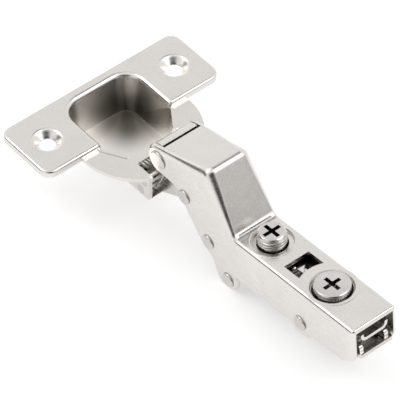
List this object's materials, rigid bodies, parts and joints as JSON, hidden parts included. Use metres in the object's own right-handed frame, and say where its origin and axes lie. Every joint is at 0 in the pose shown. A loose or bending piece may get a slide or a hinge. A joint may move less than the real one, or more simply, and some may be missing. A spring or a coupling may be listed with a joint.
{
  "type": "concealed cabinet hinge",
  "caption": "Inset concealed cup hinge with a high-crank arm, screw flange, sprung links and screw and cam adjustment.",
  "frame": {"origin": "centre of the cup's bore, on top of the screw flange", "axes": "+X along the screw wings, +Y away from the arm, +Z out of the door"},
  "size_m": [0.0578, 0.1135, 0.035],
  "materials": {
    "nickel_plate": "bright nickel plate",
    "link_steel": "nickel plate, satin",
    "pin_steel": "bright",
    "screw_steel": "bright nickel plate",
    "spring_steel": "drawn wire"
  },
  "bodies": {
    "base": {"clip_base": "link_steel", "lever_pin": "pin_steel", "lever_spring": "spring_steel"},
    "slider": {"adjust_plate": "link_steel"},
    "cam": {"depth_cam": "screw_steel"},
    "screw": {"side_screw": "screw_steel"},
    "arm": {"hinge_arm": "nickel_plate", "front_link_rivet": "pin_steel", "rear_link_rivet": "pin_steel", "spacer_rivet": "pin_steel", "lower_rivet": "pin_steel", "tilt_pin": "pin_steel"},
    "outer_link": {"outer_link": "link_steel"},
    "cup": {"hinge_cup": "nickel_plate", "outer_link_pin_left": "pin_steel", "outer_link_pin_right": "pin_steel", "inner_link_pin": "pin_steel", "spring_pin": "pin_steel", "closing_spring": "spring_steel"},
    "inner_link": {"inner_link": "link_steel"},
    "lever": {"clip_lever": "nickel_plate"}
  },
  "joints": [
    {"name": "depth_slide", "type": "slide", "parent": "base", "child": "slider", "axis": [0, 0.9957, -0.0931], "range_m": [-0.002, 0.002]},
    {"name": "depth_cam_turn", "type": "hinge", "parent": "slider", "child": "cam", "pos_m": [0, -0.07538, 0.00305], "axis": [0, 0.0931, 0.9957], "range_deg": [-61, 61]},
    {"name": "side_screw_turn", "type": "hinge", "parent": "slider", "child": "screw", "pos_m": [0, -0.05287, 0.00094], "axis": [0, 0.0931, 0.9957], "range_deg": [-229, 229]},
    {"name": "side_tilt", "type": "hinge", "parent": "slider", "child": "arm", "pos_m": [0, -0.07191, -0.00822], "axis": [1, 0, 0], "range_deg": [-2, 2]},
    {"name": "outer_link_turn", "type": "hinge", "parent": "arm", "child": "outer_link", "pos_m": [0, -0.01682, 0.00567], "axis": [1, 0, 0], "range_deg": [-9.4, 2.9]},
    {"name": "door_fold", "type": "hinge", "parent": "outer_link", "child": "cup", "pos_m": [0, -0.0128, -0.0048], "axis": [1, 0, 0], "range_deg": [-28.1, 94], "deforming": ["closing_spring"]},
    {"name": "inner_link_turn", "type": "hinge", "parent": "cup", "child": "inner_link", "pos_m": [0, -0.0114, -0.0085], "axis": [1, 0, 0], "range_deg": [-72.5, 21.7]},
    {"name": "release_lever", "type": "hinge", "parent": "base", "child": "lever", "pos_m": [0, -0.08572, -0.00553], "axis": [1, 0, 0], "range_deg": [-8, 0], "stiffness_Nm_per_rad": 0.05, "springref_deg": 5.73}
  ],
  "couplings": [
    {"joint": "depth_cam_turn", "follows": "depth_slide", "rad_per_m": -523.6},
    {"joint": "side_screw_turn", "follows": "side_tilt", "ratio": 113.73},
    {"joint": "outer_link_turn", "follows": "door_fold", "ratio": -0.099099},
    {"joint": "inner_link_turn", "follows": "door_fold", "ratio": -0.77027}
  ]
}
